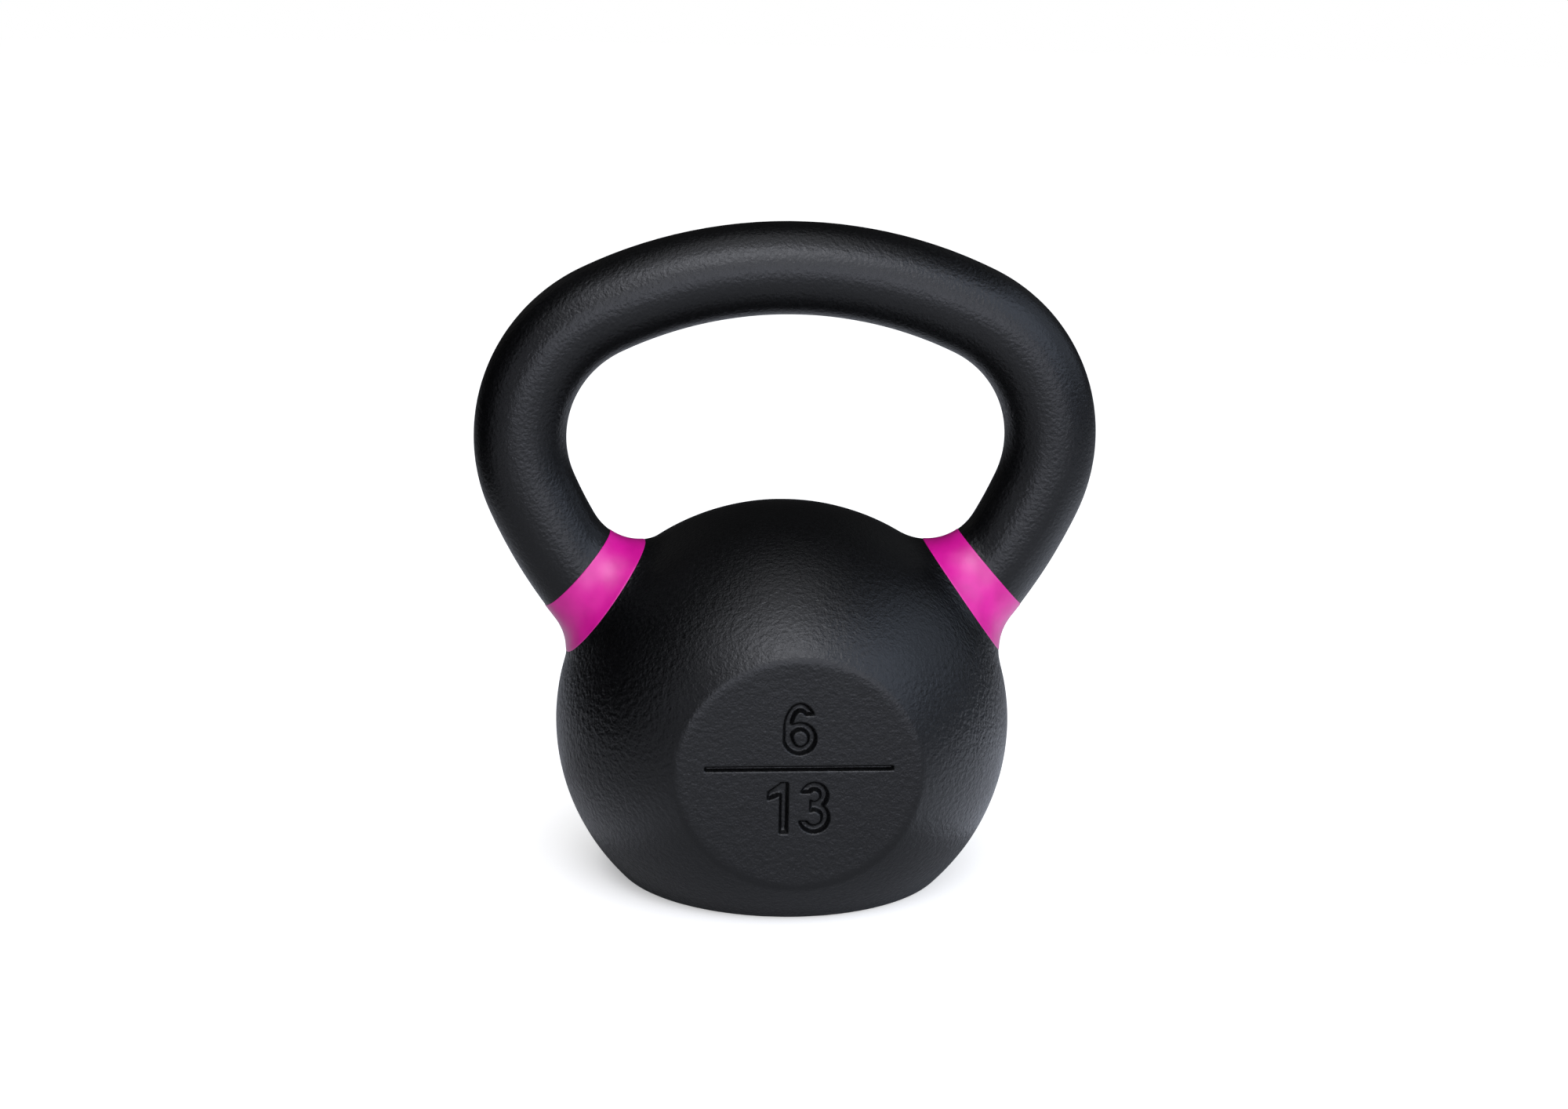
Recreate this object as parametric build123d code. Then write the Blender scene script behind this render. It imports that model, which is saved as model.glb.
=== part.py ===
from build123d import *
import os

# A cast-iron kettlebell: a ball with a flat base, a bent round handle and a painted band on each horn.
# Millimetres, +Z up. The origin is the centre of the flat base, +X runs along the handle's span and
# the engraved face looks toward -Y.

# Ball: round from above, slightly flattened in height
BALL_RADIUS = 58.0
BALL_HALF_HEIGHT = 56.1
BALL_CENTRE_Z = 39.7
BASE_EDGE_RADIUS = 3.0

# Flat round face on the front and on the back of the ball
FACE_DISTANCE = 49.7
FACE_EDGE_RADIUS = 1.8

# Handle: half of its centreline is three tangent arcs, from the middle of the grip into the ball
BAR_RADIUS = 11.6
GRIP_CENTRE_Z = 156.0
GRIP_ARC_RADIUS = 108.0
GRIP_ARC_ANGLE = 25.7
SHOULDER_ARC_RADIUS = 35.6
SHOULDER_ARC_ANGLE = 88.0
HORN_ARC_RADIUS = 120.0
HORN_ARC_ANGLE = 26.0
NECK_FILLET_RADIUS = 14.0

# Painted bands: each edge lies in a plane square to XZ, through two points (x, z) of the right horn
BAND_THICKNESS = 0.5
BAND_TOP_INNER = Vector(43.8, 89.7)
BAND_TOP_OUTER = Vector(61.1, 69.8)
BAND_FOOT_INNER = Vector(35.4, 86.5)
BAND_FOOT_OUTER = Vector(55.8, 57.6)

# Engraving on the front face: the weight in two units, one above the other, with a rule between
ENGRAVING_DEPTH = 1.0
NUMERAL_HEIGHT = 13.0
STROKE = 2.2
SIX_WIDTH = 8.2
SIX_ARM_END = 1.4 * STROKE
ONE_WIDTH = 5.2
ONE_FLAG_DROP = 1.1 * STROKE
ONE_FLAG_START = 0.8 * STROKE
ONE_FLAG_FOOT = STROKE / 4
THREE_UPPER_RADIUS = 3.5
THREE_LOWER_RADIUS = 3.9
THREE_OPENING_MARGIN = STROKE / 3
THREE_OPENING_DEPTH = THREE_UPPER_RADIUS / 3
NUMERAL_SPACE = 2.4
RULE_LENGTH = 46.0
RULE_WIDTH = 1.1
RULE_Z = 41.4
RULE_GAP = 2.9

# Cutting shapes reach past the casting by this much, and pass through the open middle of the handle
REACH = 200.0
OVERHANG = 8.0
OPENING_Z = 105.0


def ball(inset):
    """The ball with its flat base and two flat faces. Every surface but the base is moved in by inset."""
    flattening = (BALL_HALF_HEIGHT - inset) / (BALL_RADIUS - inset)
    sphere = Rot(0, 0, 90) * Sphere(BALL_RADIUS - inset)
    body = Pos(0, 0, BALL_CENTRE_Z) * scale(sphere, by=(1, 1, flattening))
    body &= Pos(0, 0, REACH / 2) * Box(REACH, REACH, REACH)
    body = fillet(body.edges().sort_by(Axis.Z)[0], BASE_EDGE_RADIUS)
    body &= Pos(0, 0, REACH / 2) * Box(REACH, 2 * (FACE_DISTANCE - inset), REACH)
    return fillet(body.faces().filter_by(Axis.Y).edges(), FACE_EDGE_RADIUS)


def handle_path():
    """The handle's centreline, from inside the ball on the left to inside the ball on the right."""
    grip = JernArc((0, GRIP_CENTRE_Z), (1, 0), GRIP_ARC_RADIUS, -GRIP_ARC_ANGLE)
    shoulder = JernArc(grip @ 1, grip % 1, SHOULDER_ARC_RADIUS, -SHOULDER_ARC_ANGLE)
    horn = JernArc(shoulder @ 1, shoulder % 1, HORN_ARC_RADIUS, -HORN_ARC_ANGLE)
    right = [(Plane.XZ * arc).edge() for arc in (grip, shoulder, horn)]
    left = [arc.mirror(Plane.YZ) for arc in right]
    return Wire(right + left)


def casting(inset):
    """The whole iron casting, ball and handle with filleted necks, with its surface moved in by inset."""
    body = ball(inset)
    path = handle_path()
    bar = sweep(Plane(path @ 0, z_dir=path % 0) * Circle(BAR_RADIUS - inset), path)
    whole = body + bar
    corners = new_edges(body, bar, combined=whole)
    return whole.fillet(NECK_FILLET_RADIUS + inset, corners)


def through_y(points):
    """A prism along Y that reaches past the casting on both sides, over an outline of (x, z) points."""
    outline = Plane.XZ * make_face(Polyline(*points, close=True))
    return extrude(outline, REACH / 2, both=True)


def line_past(inner, outer):
    """The two ends of a line across the right horn, carried past its inner and outer side."""
    over = (outer - inner).normalized() * OVERHANG
    return inner - over, outer + over


def band_slab():
    """The space between the two edge planes of the right band."""
    top_inner, top_outer = line_past(BAND_TOP_INNER, BAND_TOP_OUTER)
    foot_inner, foot_outer = line_past(BAND_FOOT_INNER, BAND_FOOT_OUTER)
    return through_y([top_inner, top_outer, foot_outer, foot_inner])


def handle_side():
    """The right half of the space above the seams, where ball and handle meet midway under each band."""
    seam_inner = (BAND_TOP_INNER + BAND_FOOT_INNER) / 2
    seam_outer = (BAND_TOP_OUTER + BAND_FOOT_OUTER) / 2
    inner, outer = line_past(seam_inner, seam_outer)
    return through_y([(0, OPENING_Z), inner, outer, (REACH, outer.Y), (REACH, REACH), (0, REACH)])


def both_sides(shape):
    """A shape of the right half together with its mirror image in the YZ plane."""
    return shape + mirror(shape, Plane.YZ)


def ellipse_ring(half_width, half_height):
    """An upright elliptical ring, one stroke wide."""
    return Ellipse(half_width, half_height) - Ellipse(half_width - STROKE, half_height - STROKE)


def numeral_six():
    """A 6 standing on the X axis, centred on the Y axis: a bowl under an arm open to the right."""
    half_width = SIX_WIDTH / 2
    bowl = Pos(0, half_width) * ellipse_ring(half_width, half_width)
    arm = Pos(0, NUMERAL_HEIGHT / 2) * ellipse_ring(half_width, NUMERAL_HEIGHT / 2)
    opening_top = NUMERAL_HEIGHT - SIX_ARM_END
    arm -= Pos(half_width, opening_top / 2) * Rectangle(SIX_WIDTH, opening_top)
    return bowl + arm


def numeral_one():
    """A 1 standing on the X axis, centred on the Y axis: a stem with a slanted flag."""
    right = ONE_WIDTH / 2
    stem = Pos(right - STROKE / 2, NUMERAL_HEIGHT / 2) * Rectangle(STROKE, NUMERAL_HEIGHT)
    flag_top = NUMERAL_HEIGHT - ONE_FLAG_DROP
    flag_foot = flag_top - STROKE
    flag = make_face(
        Polyline(
            (right, NUMERAL_HEIGHT),
            (right - ONE_FLAG_START, NUMERAL_HEIGHT),
            (-right, flag_top),
            (-right, flag_foot),
            (right - STROKE / 2, flag_top - ONE_FLAG_FOOT),
            close=True,
        )
    )
    return stem + flag


def numeral_three():
    """A 3 standing on the X axis, centred on the Y axis: two bowls open to the left."""
    lower_z = THREE_LOWER_RADIUS
    upper_z = NUMERAL_HEIGHT - THREE_UPPER_RADIUS
    lower = Pos(0, lower_z) * ellipse_ring(THREE_LOWER_RADIUS, THREE_LOWER_RADIUS)
    upper = Pos(0, upper_z) * ellipse_ring(THREE_UPPER_RADIUS, THREE_UPPER_RADIUS)
    opening_foot = lower_z - THREE_OPENING_MARGIN
    opening_top = upper_z + THREE_OPENING_MARGIN
    opening_right = -THREE_OPENING_DEPTH
    opening = Rectangle(THREE_LOWER_RADIUS, opening_top - opening_foot, align=(Align.MAX, Align.MIN))
    return lower + upper - Pos(opening_right, opening_foot) * opening


def engraving():
    """The weight 6 over 13, in kilograms and pounds, with a rule between them."""
    upper_row = RULE_Z + RULE_WIDTH / 2 + RULE_GAP
    lower_row = RULE_Z - RULE_WIDTH / 2 - RULE_GAP - NUMERAL_HEIGHT
    three_width = 2 * THREE_LOWER_RADIUS
    row_half = (ONE_WIDTH + NUMERAL_SPACE + three_width) / 2
    marks = [
        Pos(0, upper_row) * numeral_six(),
        Pos(0, RULE_Z) * Rectangle(RULE_LENGTH, RULE_WIDTH),
        Pos(ONE_WIDTH / 2 - row_half, lower_row) * numeral_one(),
        Pos(row_half - three_width / 2, lower_row) * numeral_three(),
    ]
    front = Plane((0, -FACE_DISTANCE, 0), x_dir=(1, 0, 0), z_dir=(0, -1, 0))
    return [extrude(front * mark, -ENGRAVING_DEPTH) for mark in marks]


skin = casting(0)
right_band = (skin & band_slab()) - casting(BAND_THICKNESS)
left_band = mirror(right_band, Plane.YZ)
iron = skin - right_band - left_band
upper_space = both_sides(handle_side())

pieces = {
    "ball": iron - upper_space - engraving(),
    "handle": iron & upper_space,
    "left_band": left_band,
    "right_band": right_band,
}

os.makedirs("parts", exist_ok=True)
for name, piece in pieces.items():
    export_step(piece, f"parts/{name}.step")
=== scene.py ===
"""Looks of a cast-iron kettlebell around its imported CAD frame. Lengths are in metres, +Z is up.

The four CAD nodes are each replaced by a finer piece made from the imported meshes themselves:
the iron is remeshed evenly, relieved of its facets, given the uneven skin of a painted sand
casting, and the two enamel bands are laid over it.
"""
import math

import bmesh
import bpy
import numpy as np
from mathutils import Matrix, Vector, noise
from mathutils.bvhtree import BVHTree
from mathutils.kdtree import KDTree


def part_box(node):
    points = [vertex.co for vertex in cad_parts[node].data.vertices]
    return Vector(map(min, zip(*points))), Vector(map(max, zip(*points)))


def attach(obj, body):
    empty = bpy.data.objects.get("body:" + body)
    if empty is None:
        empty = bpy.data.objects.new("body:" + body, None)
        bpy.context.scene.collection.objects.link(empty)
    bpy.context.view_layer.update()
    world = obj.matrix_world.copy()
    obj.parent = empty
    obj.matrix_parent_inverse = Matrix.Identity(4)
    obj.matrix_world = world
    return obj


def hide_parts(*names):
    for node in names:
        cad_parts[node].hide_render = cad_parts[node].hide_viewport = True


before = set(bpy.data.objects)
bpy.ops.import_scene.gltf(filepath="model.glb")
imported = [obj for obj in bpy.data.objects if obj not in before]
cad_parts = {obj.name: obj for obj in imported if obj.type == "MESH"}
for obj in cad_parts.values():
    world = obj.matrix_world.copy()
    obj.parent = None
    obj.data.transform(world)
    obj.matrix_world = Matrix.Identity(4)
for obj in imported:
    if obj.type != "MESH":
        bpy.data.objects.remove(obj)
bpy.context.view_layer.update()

MM = 0.001

# Mesh of the casting
BALL_VOXEL = 0.88 * MM
HANDLE_VOXEL = 0.55 * MM
BALL_SMOOTHING = 5
HANDLE_SMOOTHING = 12
SPLIT_TOP = 105 * MM
WELD_DISTANCE = 0.001 * MM

# Bands: their edge planes as in the CAD model, through two points (x, z) of the right horn
BAND_TOP_INNER = Vector((43.8, 0, 89.7)) * MM
BAND_TOP_OUTER = Vector((61.1, 0, 69.8)) * MM
BAND_FOOT_INNER = Vector((35.4, 0, 86.5)) * MM
BAND_FOOT_OUTER = Vector((55.8, 0, 57.6)) * MM
BAND_THICKNESS = 0.5 * MM
BAND_RISE = 0.1 * MM
BAND_EDGE_WIDTH = 0.5 * MM
BAND_EDGE_LOOPS = (0.08 * MM, 0.22 * MM, 0.5 * MM)
BAND_WAVE = 0.012 * MM
BAND_WAVE_LENGTH = 6 * MM
BAND_WELD_DISTANCE = 0.02 * MM

# Engraving: the part of the front face that is searched for it, and the softness of its edges
ENGRAVED_HALF_WIDTH = 25 * MM
ENGRAVED_LOW = 22.5 * MM
ENGRAVED_HIGH = 60 * MM
ENGRAVING_STEP = 0.1 * MM
ENGRAVING_SOFTNESS = 0.16 * MM
GROOVE_RADIUS = 0.7 * MM
ENGRAVING_REACH = 0.45 * MM
OUTLINE_LEAST = 0.004
OUTLINE_MOST = 0.996
FRONT_TOLERANCE = 0.2 * MM
PLUG_RADIUS = 26 * MM
PLUG_DEPTH = 1.3 * MM
PLUG_SIDES = 96

# Uneven cast skin, always inward of the CAD surface: lengths and heights of its waves
BALL_WAVES = ((9 * MM, 0.06 * MM), (3.2 * MM, 0.01 * MM))
HANDLE_WAVES = ((8 * MM, 0.03 * MM), (2.6 * MM, 0.008 * MM))
CALM_HEIGHT = 3 * MM
WAVE_SHIFT = Vector((17.3, 5.1, 9.7))

# Where solid noise is taken to start and end, for spreading it over a range and over two colours
NOISE_SPREAD = (0.3, 0.7)
NOISE_BLEND = (0.35, 0.65)

# Paints: colours of the darker and the lighter patches, and how unevenly the gloss lies
IRON_DARK = (0.0008, 0.0008, 0.0010)
IRON_LIGHT = (0.0016, 0.0016, 0.0018)
IRON_PATCH_LENGTH = 14 * MM
IRON_MOTTLE_LENGTH = 0.8 * MM
IRON_MOTTLE = 0.06
FLANK_START = 22 * MM
FLANK_FULL = 50 * MM
BALL_GRAIN = {"grain": 1.2 * MM, "height": 0.34 * MM, "middle": 0.37, "gloss": 0.37}
HANDLE_GRAIN = {"grain": 0.9 * MM, "height": 0.14 * MM, "middle": 0.8, "gloss": 0.36}
FINE_GRAIN_SHARE = 0.45
FINE_HEIGHT_SHARE = 0.3
ENAMEL_DARK = (0.74, 0.002, 0.31)
ENAMEL_LIGHT = (0.84, 0.004, 0.36)
ENAMEL_PATCH_LENGTH = 5 * MM
ENAMEL_ROUGHNESS = (0.38, 0.44)
ENAMEL_COAT = 0.6
ENAMEL_COAT_ROUGHNESS = 0.33
ENAMEL_GRAIN = 2.2 * MM
ENAMEL_GRAIN_HEIGHT = 0.04 * MM

# Camera
CAMERA_TARGET = Vector((-0.0002, 0, 0.0827))
CAMERA_DISTANCE = 0.7728
CAMERA_AZIMUTH = math.radians(-5.23)
CAMERA_ELEVATION = math.radians(13.507)
CAMERA_ROLL = math.radians(1.089)
CAMERA_LENS = 69.8
SENSOR_WIDTH = 36
CLIP_START = 0.01
CLIP_END = 20

# Floor and room
FLOOR_RADIUS = 3
FLOOR_SIDES = 128
FLOOR_GREY = 0.6
FLOOR_ROUGHNESS = 0.9
ROOM_LEVEL = 0.02

# Glow of the floor: its level at shares of the reach, measured from a centre. It is weak near the
# object and full further out, so it paints a soft shadow around the base and leaves the floor evenly
# white further away.
PAINTED_SHADOW_CENTRE = Vector((-3, 3, 0)) * MM
PAINTED_SHADOW_REACH = 100 * MM
GLOW_AND_PAINTED_SHADOW_STOPS = ((0.38, 0.30), (0.45, 0.66), (0.55, 0.75), (0.75, 0.9), (1.0, 1.0))

# Black card at the left
FLAG_PLACE = (-0.24, 0.05, 0.19)
FLAG_SCALE = (0.22, 0.36, 1)

# Soft panels aimed at the object. Azimuth 0 is in front of it and 90 on its right.
LIGHT_AIM = Vector((0, 0, 0.07))
COOL_WHITE = (0.84, 0.87, 1.0)
CARD_WHITE = (0.84, 0.88, 1.0)
KEY_WHITE = (0.90, 0.92, 1.0)
# name, azimuth and elevation in degrees, distance, width, height, radiance, colour
PANELS = (
    ("key_softbox", 3, 44, 1.2, 0.9, 1.0, 1.85, KEY_WHITE),
    ("key_core", 0, 50, 1.15, 0.5, 0.4, 3.6, KEY_WHITE),
    ("front_low_panel", 5, 8, 1.2, 1.5, 0.42, 2.6, COOL_WHITE),
    ("top_panel", 0, 85, 1.2, 0.7, 0.5, 1.0, (0.92, 0.94, 1.0)),
    ("left_high_panel", -42, 50, 1.2, 0.6, 0.6, 1.1, (0.88, 0.91, 1.0)),
    ("left_front_panel", -58, 14, 1.2, 0.5, 0.5, 0.6, COOL_WHITE),
    ("right_front_panel", 54, 30, 1.2, 0.8, 0.9, 1.8, (0.70, 0.80, 1.0)),
    ("right_panel", 98, 28, 1.2, 0.8, 0.9, 0.7, (0.72, 0.82, 1.0)),
    ("left_rear_panel", -150, 25, 1.2, 0.5, 0.6, 0.05, (1, 1, 1)),
    ("right_rear_panel", 145, 25, 1.2, 0.5, 0.6, 0.06, (0.9, 0.95, 1.0)),
)
# Glowing cards that lie on the floor: name, centre, width, depth, radiance, colour
FLOOR_CARDS = (
    ("rear_card", (0.08, 0.18, 0.002), 0.5, 0.24, 0.27, CARD_WHITE),
    ("right_card", (0.165, 0.0, 0.002), 0.21, 0.16, 0.62, (0.8, 0.86, 1.0)),
    ("left_card", (-0.07, 0.03, 0.002), 0.03, 0.2, 0.24, CARD_WHITE),
)


# ---------------------------------------------------------------- meshes

def mesh_arrays(mesh):
    """Vertex places and triangle corners of a mesh."""
    mesh.calc_loop_triangles()
    points = np.empty(len(mesh.vertices) * 3)
    mesh.vertices.foreach_get("co", points)
    corners = np.empty(len(mesh.loop_triangles) * 3, np.int64)
    mesh.loop_triangles.foreach_get("vertices", corners)
    return points.reshape(-1, 3), corners.reshape(-1, 3)


def node_bmesh(names):
    """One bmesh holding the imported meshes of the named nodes, with equal points merged."""
    bm = bmesh.new()
    for name in names:
        bm.from_mesh(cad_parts[name].data)
    bmesh.ops.remove_doubles(bm, verts=bm.verts, dist=WELD_DISTANCE)
    return bm


def add_plug(bm):
    """Fills the engraving with a flat disc whose front is level with the front face."""
    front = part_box("ball")[0].y
    centre = Vector((0, front + PLUG_DEPTH / 2, (ENGRAVED_LOW + ENGRAVED_HIGH) / 2))
    turn = Matrix.Rotation(math.pi / 2, 4, "X")
    bmesh.ops.create_cone(
        bm,
        cap_ends=True,
        segments=PLUG_SIDES,
        radius1=PLUG_RADIUS,
        radius2=PLUG_RADIUS,
        depth=PLUG_DEPTH,
        matrix=Matrix.Translation(centre) @ turn,
    )


def remeshed(mesh, voxel):
    """An even quad mesh over the outside of a mesh."""
    source = bpy.data.objects.new("remesh_source", mesh)
    bpy.context.scene.collection.objects.link(source)
    modifier = source.modifiers.new("even", "REMESH")
    modifier.mode = "VOXEL"
    modifier.voxel_size = voxel
    depsgraph = bpy.context.evaluated_depsgraph_get()
    result = bpy.data.meshes.new_from_object(source.evaluated_get(depsgraph))
    bpy.data.objects.remove(source)
    return result


def averaged(values, pairs, rounds):
    """Rows of values, one per vertex, after moving halfway to the neighbours' mean a few times."""
    count = len(values)
    degree = np.bincount(pairs.ravel(), minlength=count)[:, None]
    first, second = pairs.T
    for _ in range(rounds):
        total = np.empty_like(values)
        for axis in range(values.shape[1]):
            column = values[:, axis]
            total[:, axis] = np.bincount(first, column[second], count)
            total[:, axis] += np.bincount(second, column[first], count)
        values = (values + total / degree) / 2
    return values


def relax(mesh, rounds):
    """Smooths away the CAD facets, then gives back the volume that smoothing took."""
    points, _ = mesh_arrays(mesh)
    pairs = np.empty(len(mesh.edges) * 2, np.int64)
    mesh.edges.foreach_get("vertices", pairs)
    pairs = pairs.reshape(-1, 2)
    smooth = averaged(points, pairs, rounds)
    smooth += averaged(points - smooth, pairs, rounds)
    smooth[:, 2] = np.maximum(smooth[:, 2], 0)
    mesh.vertices.foreach_set("co", smooth.ravel())
    mesh.update()


def casting(voxel, rounds):
    """The whole casting, bands included and engraving filled, as one even bmesh."""
    bm = node_bmesh(sorted(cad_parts))
    add_plug(bm)
    mesh = bpy.data.meshes.new("casting")
    bm.to_mesh(mesh)
    bm.free()
    even = remeshed(mesh, voxel)
    relax(even, rounds)
    result = bmesh.new()
    result.from_mesh(even)
    return result


# ---------------------------------------------------------------- band planes

def edge_plane(inner, outer, side):
    """Point and upward normal of a plane square to XZ on the right (1) or left (-1) horn."""
    along = outer - inner
    normal = Vector((-along.z, 0, along.x)).normalized()
    return Vector((side * inner.x, 0, inner.z)), Vector((side * normal.x, 0, normal.z))


def top_plane(side):
    """The band's edge toward the handle."""
    return edge_plane(BAND_TOP_INNER, BAND_TOP_OUTER, side)


def foot_plane(side):
    """The band's edge toward the ball."""
    return edge_plane(BAND_FOOT_INNER, BAND_FOOT_OUTER, side)


def seam_plane(side):
    """Where ball and handle meet, midway under the band."""
    inner = (BAND_TOP_INNER + BAND_FOOT_INNER) / 2
    outer = (BAND_TOP_OUTER + BAND_FOOT_OUTER) / 2
    return edge_plane(inner, outer, side)


def above(point, plane):
    """Height of a point over a plane."""
    return (point - plane[0]).dot(plane[1])


def horn_geometry(bm, side):
    """The faces of one horn and its surroundings, with their edges and corners."""
    faces = []
    for face in bm.faces:
        centre = face.calc_center_median()
        if side * centre.x > 0 and centre.z < SPLIT_TOP:
            faces.append(face)
    edges = {edge for face in faces for edge in face.edges}
    corners = {corner for face in faces for corner in face.verts}
    return faces + list(edges) + list(corners)


def cut(bm, side, plane):
    """Adds an edge loop where a plane crosses one horn."""
    geometry = horn_geometry(bm, side)
    bmesh.ops.bisect_plane(bm, geom=geometry, dist=0, plane_co=plane[0], plane_no=plane[1])


def is_handle(point):
    """Whether a point of the casting belongs to the handle."""
    if point.z > SPLIT_TOP:
        return True
    return above(point, seam_plane(math.copysign(1, point.x))) > 0


def keep_half(bm, handle):
    """Keeps the handle's or the ball's half of the casting and closes it at the seams."""
    for side in (1, -1):
        cut(bm, side, seam_plane(side))
    other = [face for face in bm.faces if is_handle(face.calc_center_median()) != handle]
    bmesh.ops.delete(bm, geom=other, context="FACES")
    bmesh.ops.holes_fill(bm, edges=[edge for edge in bm.edges if edge.is_boundary], sides=0)
    bmesh.ops.recalc_face_normals(bm, faces=bm.faces)


# ---------------------------------------------------------------- engraving

def engraving_depths():
    """Depth of the engraving under the front face, on a fine grid: rows in z, columns in x."""
    points, corners = mesh_arrays(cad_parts["ball"].data)
    tree = BVHTree.FromPolygons(points.tolist(), corners.tolist())
    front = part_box("ball")[0].y
    xs = np.arange(-ENGRAVED_HALF_WIDTH, ENGRAVED_HALF_WIDTH, ENGRAVING_STEP)
    zs = np.arange(ENGRAVED_LOW, ENGRAVED_HIGH, ENGRAVING_STEP)
    ahead = Vector((0, 1, 0))
    depths = np.zeros((len(zs), len(xs)))
    for row, z in enumerate(zs):
        for column, x in enumerate(xs):
            hit = tree.ray_cast(Vector((x, front - MM, z)), ahead)[0]
            depths[row, column] = hit.y - front
    return depths


def rounded_grooves(depths):
    """The engraving with rounded floors: its depth grows from the outline to the stroke's middle."""
    deepest = depths.max()
    inside = depths > deepest / 2
    near = inside.copy()
    for axis in (0, 1):
        for step in (1, -1):
            near |= np.roll(inside, step, axis)
    outline = np.argwhere(near & ~inside)
    tree = KDTree(len(outline))
    for number, (row, column) in enumerate(outline):
        tree.insert((row, column, 0), number)
    tree.balance()
    rounded = np.zeros_like(depths)
    for row, column in np.argwhere(inside):
        gap = tree.find((row, column, 0))[2] * ENGRAVING_STEP / GROOVE_RADIUS
        rounded[row, column] = deepest * math.sin(min(gap, 1) * math.pi / 2)
    return rounded


def blurred(grid, width):
    """A grid softened by a bell curve of the given width."""
    reach = math.ceil(3 * width / ENGRAVING_STEP)
    offsets = np.arange(-reach, reach + 1) * ENGRAVING_STEP
    bell = np.exp(-((offsets / width) ** 2) / 2)
    bell /= bell.sum()
    for axis in (0, 1):
        grid = np.apply_along_axis(lambda line: np.convolve(line, bell, "same"), axis, grid)
    return grid


def sampled(grid, x, z):
    """The grid's value at a place on the front face, between its four nearest samples."""
    column = (x + ENGRAVED_HALF_WIDTH) / ENGRAVING_STEP
    row = (z - ENGRAVED_LOW) / ENGRAVING_STEP
    if not (0 <= column < grid.shape[1] - 1 and 0 <= row < grid.shape[0] - 1):
        return 0.0
    left, low = int(column), int(row)
    u, v = column - left, row - low
    lower = grid[low, left] * (1 - u) + grid[low, left + 1] * u
    upper = grid[low + 1, left] * (1 - u) + grid[low + 1, left + 1] * u
    return lower * (1 - v) + upper * v


def front_faces(bm, wanted):
    """The faces of the flat front whose centre passes a test."""
    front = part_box("ball")[0].y
    found = []
    for face in bm.faces:
        centre = face.calc_center_median()
        if centre.y < front + FRONT_TOLERANCE and wanted(centre):
            found.append(face)
    return found


def refine(bm, faces, cuts):
    """Splits faces into smaller ones."""
    edges = {edge for face in faces for edge in face.edges}
    bmesh.ops.subdivide_edges(bm, edges=list(edges), cuts=cuts, use_grid_fill=True)


def engrave(bm):
    """Sinks the numerals and the rule into the front face, with softly cast edges."""
    depths = rounded_grooves(engraving_depths())
    deepest = depths.max()
    outline = blurred(depths, ENGRAVING_REACH) / deepest

    def near_outline(centre):
        return OUTLINE_LEAST < sampled(outline, centre.x, centre.z) < OUTLINE_MOST

    refine(bm, front_faces(bm, near_outline), 1)
    refine(bm, front_faces(bm, near_outline), 2)
    soft = blurred(depths, ENGRAVING_SOFTNESS)
    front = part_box("ball")[0].y
    for vertex in bm.verts:
        if vertex.co.y < front + FRONT_TOLERANCE:
            vertex.co.y += sampled(soft, vertex.co.x, vertex.co.z)


# ---------------------------------------------------------------- surface and pieces

def relief(point, waves):
    """How far the cast skin lies under the ideal surface at a point."""
    depth = 0.0
    for number, (length, height) in enumerate(waves):
        shift = WAVE_SHIFT * (number + 1)
        depth += height * (noise.noise(point / length + shift) + 1) / 2
    return depth


def roughen(bm, waves):
    """Gives the iron its uneven skin, except on the flat base it stands on."""
    bm.normal_update()
    moves = []
    for vertex in bm.verts:
        calm = min(vertex.co.z / CALM_HEIGHT, 1)
        moves.append(vertex.normal * relief(vertex.co, waves) * calm)
    for vertex, move in zip(bm.verts, moves):
        vertex.co -= move


def finished(bm, name, node, material):
    """Turns a bmesh into the smooth-shaded piece that stands for a CAD node."""
    mesh = bpy.data.meshes.new(name)
    bm.to_mesh(mesh)
    bm.free()
    mesh.shade_smooth()
    mesh.materials.append(material)
    piece = bpy.data.objects.new(name, mesh)
    bpy.context.scene.collection.objects.link(piece)
    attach(piece, "root")
    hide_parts(node)
    return piece


def band_rise(vertex, top, foot):
    """How far the enamel stands over the iron, rounded off toward its two edges."""
    inset = min(-above(vertex, top), above(vertex, foot)) / BAND_EDGE_WIDTH
    inset = min(max(inset, 0), 1)
    wave = BAND_WAVE * noise.noise(vertex / BAND_WAVE_LENGTH)
    return (BAND_RISE + wave) * math.sqrt(1 - (1 - inset) ** 2)


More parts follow.
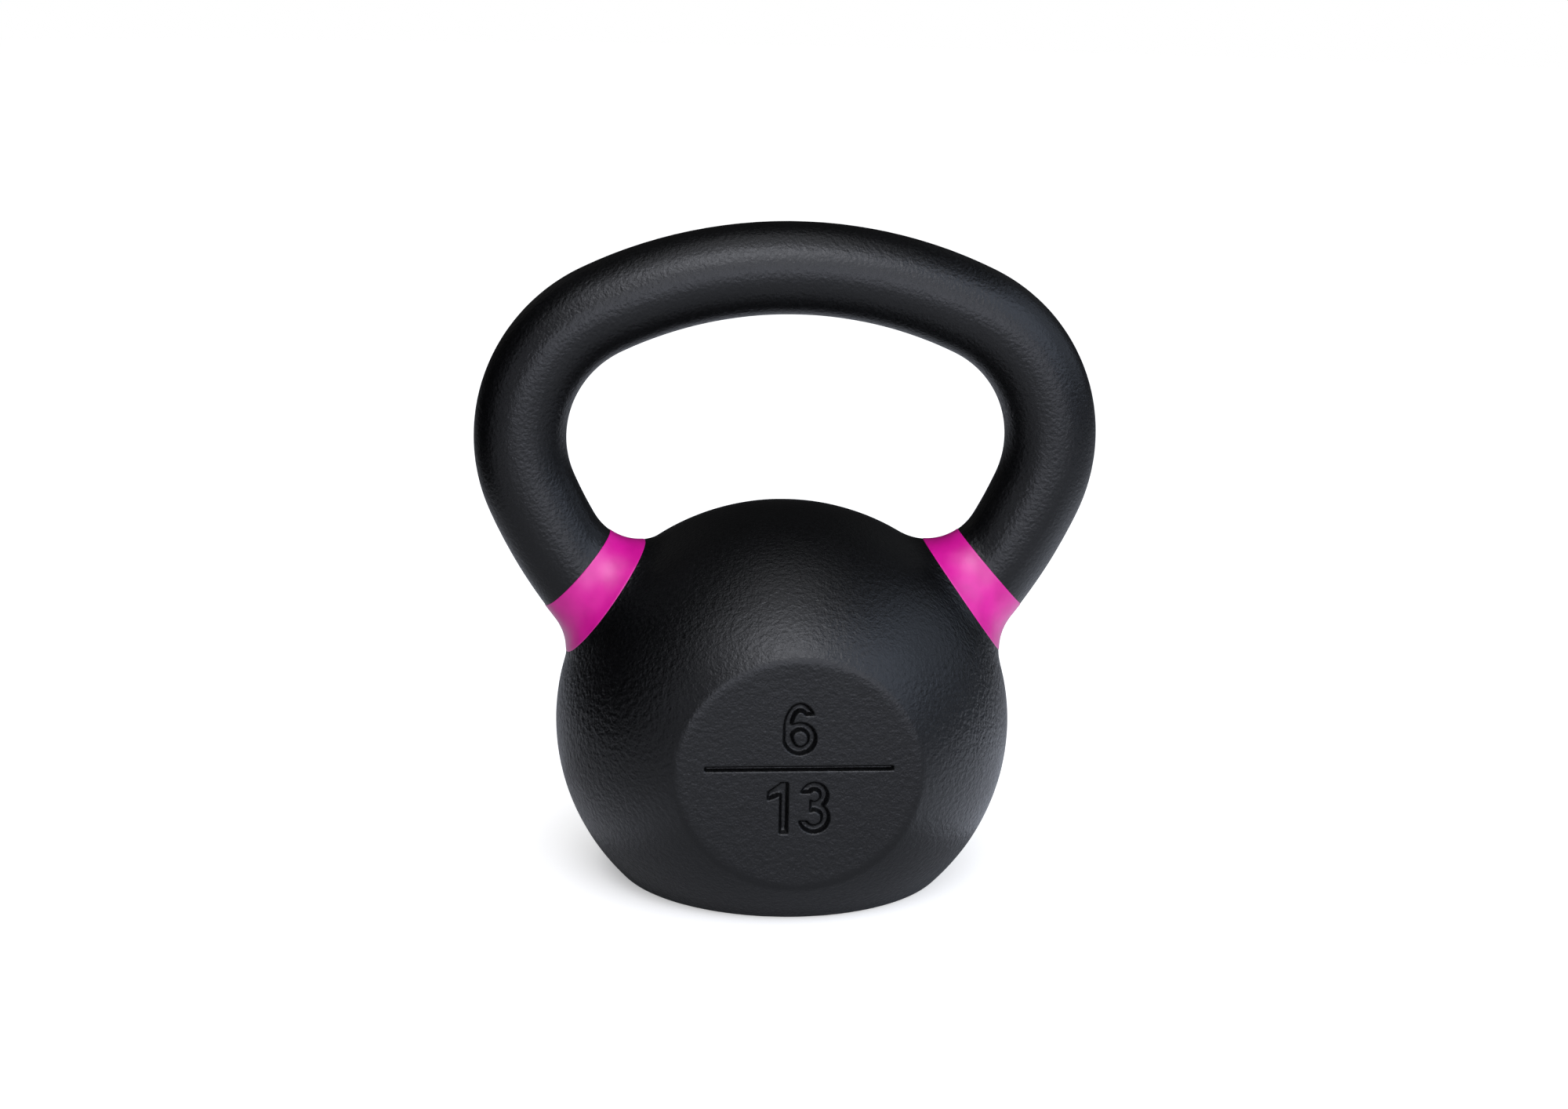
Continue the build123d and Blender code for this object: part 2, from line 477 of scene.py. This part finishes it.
def band(source, side):
    """The enamel band of one horn: a closed skin over the casting between two planes."""
    bm = source.copy()
    top, foot = top_plane(side), foot_plane(side)
    for plane, inward in ((top, -1), (foot, 1)):
        for inset in (0, *BAND_EDGE_LOOPS):
            cut(bm, side, (plane[0] + plane[1] * inward * inset, plane[1]))
    outside = []
    for face in bm.faces:
        centre = face.calc_center_median()
        inside = side * centre.x > 0 and above(centre, top) < 0 < above(centre, foot)
        if not inside or centre.z > SPLIT_TOP:
            outside.append(face)
    bmesh.ops.delete(bm, geom=outside, context="FACES")
    bmesh.ops.remove_doubles(bm, verts=bm.verts, dist=BAND_WELD_DISTANCE)
    bm.normal_update()
    bm.verts.index_update()
    count = len(bm.verts)
    outer = [v.co + v.normal * band_rise(v.co, top, foot) for v in bm.verts]
    inner = [v.co - v.normal * BAND_THICKNESS for v in bm.verts]
    faces = [[v.index for v in face.verts] for face in bm.faces]
    faces += [[v.index + count for v in reversed(face.verts)] for face in bm.faces]
    for edge in bm.edges:
        if edge.is_boundary:
            a, b = (v.index for v in edge.verts)
            faces.append([b, a, a + count, b + count])
    bm.free()
    mesh = bpy.data.meshes.new("band")
    mesh.from_pydata(outer + inner, [], faces)
    result = bmesh.new()
    result.from_mesh(mesh)
    bpy.data.meshes.remove(mesh)
    bmesh.ops.recalc_face_normals(result, faces=result.faces)
    return result


# ---------------------------------------------------------------- materials

def node_material(name):
    """A new material and its node tree."""
    material = bpy.data.materials.new(name)
    material.use_nodes = True
    return material, material.node_tree


def place_noise(tree, length, detail, roughness=0.5):
    """Solid noise of the given wavelength, fixed to the object."""
    where = tree.nodes.new("ShaderNodeTexCoord")
    texture = tree.nodes.new("ShaderNodeTexNoise")
    texture.inputs["Scale"].default_value = 1 / length
    texture.inputs["Detail"].default_value = detail
    texture.inputs["Roughness"].default_value = roughness
    tree.links.new(where.outputs["Object"], texture.inputs["Vector"])
    return texture.outputs["Fac"]


def ranged(tree, value, low, high):
    """A noise value spread from its usual range to low and high."""
    node = tree.nodes.new("ShaderNodeMapRange")
    node.inputs["From Min"].default_value = NOISE_SPREAD[0]
    node.inputs["From Max"].default_value = NOISE_SPREAD[1]
    node.inputs["To Min"].default_value = low
    node.inputs["To Max"].default_value = high
    tree.links.new(value, node.inputs["Value"])
    return node.outputs["Result"]


def bumped(tree, height, distance, below=None, strength=None):
    """The surface's direction after a bump, over another bump and of varying strength if given."""
    node = tree.nodes.new("ShaderNodeBump")
    node.inputs["Distance"].default_value = distance
    tree.links.new(height, node.inputs["Height"])
    if below is not None:
        tree.links.new(below, node.inputs["Normal"])
    if strength is not None:
        tree.links.new(strength, node.inputs["Strength"])
    return node.outputs["Normal"]


def blended(tree, value, first, second):
    """A colour between two, by a noise value."""
    ramp = tree.nodes.new("ShaderNodeValToRGB")
    for element, place, colour in zip(ramp.color_ramp.elements, NOISE_BLEND, (first, second)):
        element.position = place
        element.color = (*colour, 1)
    tree.links.new(value, ramp.inputs["Fac"])
    return ramp.outputs["Color"]


def flank_strength(tree, middle):
    """1 at the object's left and right flanks, falling to a lower share at its middle."""
    where = tree.nodes.new("ShaderNodeTexCoord")
    parts = tree.nodes.new("ShaderNodeSeparateXYZ")
    tree.links.new(where.outputs["Object"], parts.inputs["Vector"])
    across = tree.nodes.new("ShaderNodeMath")
    across.operation = "ABSOLUTE"
    tree.links.new(parts.outputs["X"], across.inputs[0])
    share = tree.nodes.new("ShaderNodeMapRange")
    share.interpolation_type = "SMOOTHSTEP"
    share.inputs["From Min"].default_value = FLANK_START
    share.inputs["From Max"].default_value = FLANK_FULL
    share.inputs["To Min"].default_value = middle
    share.inputs["To Max"].default_value = 1
    tree.links.new(across.outputs["Value"], share.inputs["Value"])
    return share.outputs["Result"]


def iron_material(name, grain, height, middle, gloss):
    """Black paint over cast iron: patches, mottled gloss, and a grain that is weaker in the middle."""
    material, tree = node_material(name)
    shader = tree.nodes["Principled BSDF"]
    patches = place_noise(tree, IRON_PATCH_LENGTH, 2)
    tree.links.new(blended(tree, patches, IRON_DARK, IRON_LIGHT), shader.inputs["Base Color"])
    mottle = place_noise(tree, IRON_MOTTLE_LENGTH, 2, 0.6)
    roughness = ranged(tree, mottle, gloss - IRON_MOTTLE, gloss + IRON_MOTTLE)
    tree.links.new(roughness, shader.inputs["Roughness"])
    strength = flank_strength(tree, middle)
    peel = bumped(tree, place_noise(tree, grain, 1), height, strength=strength)
    fine = place_noise(tree, FINE_GRAIN_SHARE * grain, 2, 0.6)
    tree.links.new(bumped(tree, fine, FINE_HEIGHT_SHARE * height, peel), shader.inputs["Normal"])
    return material


def enamel_material(name):
    """Magenta enamel under a clear coat, a little uneven."""
    material, tree = node_material(name)
    shader = tree.nodes["Principled BSDF"]
    patches = place_noise(tree, ENAMEL_PATCH_LENGTH, 2)
    tree.links.new(blended(tree, patches, ENAMEL_DARK, ENAMEL_LIGHT), shader.inputs["Base Color"])
    tree.links.new(ranged(tree, patches, *ENAMEL_ROUGHNESS), shader.inputs["Roughness"])
    shader.inputs["Coat Weight"].default_value = ENAMEL_COAT
    shader.inputs["Coat Roughness"].default_value = ENAMEL_COAT_ROUGHNESS
    grain = bumped(tree, place_noise(tree, ENAMEL_GRAIN, 1), ENAMEL_GRAIN_HEIGHT)
    tree.links.new(grain, shader.inputs["Normal"])
    return material


# ---------------------------------------------------------------- studio

def direction(azimuth, elevation):
    """Unit vector from the object toward a place in front of it (azimuth 0) or around it."""
    flat = math.cos(elevation)
    return Vector((math.sin(azimuth) * flat, -math.cos(azimuth) * flat, math.sin(elevation)))


def glow_and_painted_shadow(tree):
    """How strongly the floor glows at each place, by distance from the glow's centre: weak near the
    object, which paints the shadow around its base, and full further out.
    """
    where = tree.nodes.new("ShaderNodeTexCoord")
    distance = tree.nodes.new("ShaderNodeVectorMath")
    distance.operation = "DISTANCE"
    distance.inputs[1].default_value = PAINTED_SHADOW_CENTRE
    tree.links.new(where.outputs["Object"], distance.inputs[0])
    share = tree.nodes.new("ShaderNodeMath")
    share.operation = "DIVIDE"
    share.inputs[1].default_value = PAINTED_SHADOW_REACH
    tree.links.new(distance.outputs["Value"], share.inputs[0])
    ramp = tree.nodes.new("ShaderNodeValToRGB")
    ramp.color_ramp.interpolation = "B_SPLINE"
    while len(ramp.color_ramp.elements) < len(GLOW_AND_PAINTED_SHADOW_STOPS):
        ramp.color_ramp.elements.new(0.5)
    for element, (place, level) in zip(ramp.color_ramp.elements, GLOW_AND_PAINTED_SHADOW_STOPS):
        element.position = place
        element.color = (level, level, level, 1)
    tree.links.new(share.outputs["Value"], ramp.inputs["Fac"])
    return ramp.outputs["Color"]


def floor_material():
    """A pale matte floor that glows for the camera only, so that its shadows stay faint. Its glow is
    weaker near the object, which paints the soft shadow around the base.
    """
    material, tree = node_material("pale_floor_with_painted_shadow")
    shader = tree.nodes["Principled BSDF"]
    shader.inputs["Base Color"].default_value = (FLOOR_GREY, FLOOR_GREY, FLOOR_GREY, 1)
    shader.inputs["Roughness"].default_value = FLOOR_ROUGHNESS
    shader.inputs["Specular IOR Level"].default_value = 0
    shader.inputs["Emission Color"].default_value = (1, 1, 1, 1)
    rays = tree.nodes.new("ShaderNodeLightPath")
    seen = tree.nodes.new("ShaderNodeMath")
    seen.operation = "MULTIPLY"
    # The glow's dip near the object paints the shadow around its base
    tree.links.new(glow_and_painted_shadow(tree), seen.inputs[0])
    tree.links.new(rays.outputs["Is Camera Ray"], seen.inputs[1])
    tree.links.new(seen.outputs["Value"], shader.inputs["Emission Strength"])
    return material


def studio_floor():
    """A wide round floor."""
    bm = bmesh.new()
    bmesh.ops.create_circle(bm, cap_ends=True, segments=FLOOR_SIDES, radius=FLOOR_RADIUS)
    mesh = bpy.data.meshes.new("floor")
    bm.to_mesh(mesh)
    bm.free()
    mesh.materials.append(floor_material())
    floor = bpy.data.objects.new("floor", mesh)
    bpy.context.scene.collection.objects.link(floor)


def studio_world():
    """White behind the object for the camera, and a dim room for everything else."""
    world = bpy.data.worlds.new("studio")
    bpy.context.scene.world = world
    world.use_nodes = True
    tree = world.node_tree
    background = tree.nodes["Background"]
    rays = tree.nodes.new("ShaderNodeLightPath")
    level = tree.nodes.new("ShaderNodeMapRange")
    level.inputs["To Min"].default_value = ROOM_LEVEL
    level.inputs["To Max"].default_value = 1.0
    tree.links.new(rays.outputs["Is Camera Ray"], level.inputs["Value"])
    background.inputs["Color"].default_value = (1, 1, 1, 1)
    tree.links.new(level.outputs["Result"], background.inputs["Strength"])


def area_light(name, width, height, radiance, colour):
    """A rectangular light that the camera does not see."""
    light = bpy.data.lights.new(name, "AREA")
    light.shape = "RECTANGLE"
    light.size = width
    light.size_y = height
    light.energy = radiance * math.pi * width * height
    light.color = colour
    lamp = bpy.data.objects.new(name, light)
    lamp.visible_camera = False
    bpy.context.scene.collection.objects.link(lamp)
    return lamp


def softbox(name, azimuth, elevation, distance, *look):
    """A soft panel that faces the object."""
    turn, tilt = math.radians(azimuth), math.radians(elevation)
    away = direction(turn, tilt)
    lamp = area_light(name, *look)
    lamp.location = LIGHT_AIM + away * distance
    lamp.rotation_euler = away.to_track_quat("Z", "Y").to_euler()


def floor_card(name, centre, *look):
    """A glowing card that lies on the floor beside the object, for its reflections."""
    card = area_light(name, *look)
    card.location = centre
    card.rotation_euler = (math.pi, 0, 0)


def studio_lights():
    """All the panels and floor cards."""
    for panel in PANELS:
        softbox(*panel)
    for card in FLOOR_CARDS:
        floor_card(*card)


def studio_flag():
    """A black card on the left that only reflections see: it keeps that side of the ball dark."""
    bm = bmesh.new()
    bmesh.ops.create_grid(bm, size=0.5)
    mesh = bpy.data.meshes.new("flag")
    bm.to_mesh(mesh)
    bm.free()
    material, tree = node_material("black_card")
    shader = tree.nodes["Principled BSDF"]
    shader.inputs["Base Color"].default_value = (0, 0, 0, 1)
    shader.inputs["Specular IOR Level"].default_value = 0
    mesh.materials.append(material)
    flag = bpy.data.objects.new("flag", mesh)
    flag.location = FLAG_PLACE
    flag.scale = FLAG_SCALE
    flag.rotation_euler = (math.pi / 2, 0, math.pi / 2)
    flag.visible_camera = False
    flag.visible_diffuse = False
    flag.visible_shadow = False
    bpy.context.scene.collection.objects.link(flag)


def camera():
    """A camera at a fixed place, turned a little about its line of sight."""
    away = direction(CAMERA_AZIMUTH, CAMERA_ELEVATION)
    data = bpy.data.cameras.new("camera")
    data.lens = CAMERA_LENS
    data.sensor_width = SENSOR_WIDTH
    data.clip_start = CLIP_START
    data.clip_end = CLIP_END
    seen_by = bpy.data.objects.new("camera", data)
    turn = away.to_track_quat("Z", "Y").to_matrix().to_4x4() @ Matrix.Rotation(CAMERA_ROLL, 4, "Z")
    seen_by.matrix_world = Matrix.Translation(CAMERA_TARGET + away * CAMERA_DISTANCE) @ turn
    bpy.context.scene.collection.objects.link(seen_by)
    bpy.context.scene.camera = seen_by


# ---------------------------------------------------------------- the object

ball_paint = iron_material("paint_on_ball", **BALL_GRAIN)
handle_paint = iron_material("paint_on_handle", **HANDLE_GRAIN)
enamel = enamel_material("band_enamel")

ball = casting(BALL_VOXEL, BALL_SMOOTHING)
keep_half(ball, handle=False)
engrave(ball)
roughen(ball, BALL_WAVES)
finished(ball, "ball_casting", "ball", ball_paint)

fine = casting(HANDLE_VOXEL, HANDLE_SMOOTHING)
for side, node in ((1, "right_band"), (-1, "left_band")):
    piece = finished(band(fine, side), node + "_enamel", node, enamel)
    piece.visible_glossy = False

keep_half(fine, handle=True)
roughen(fine, HANDLE_WAVES)
finished(fine, "handle_casting", "handle", handle_paint)

studio_floor()
studio_world()
studio_lights()
studio_flag()
camera()
bpy.context.scene.view_settings.view_transform = "Standard"
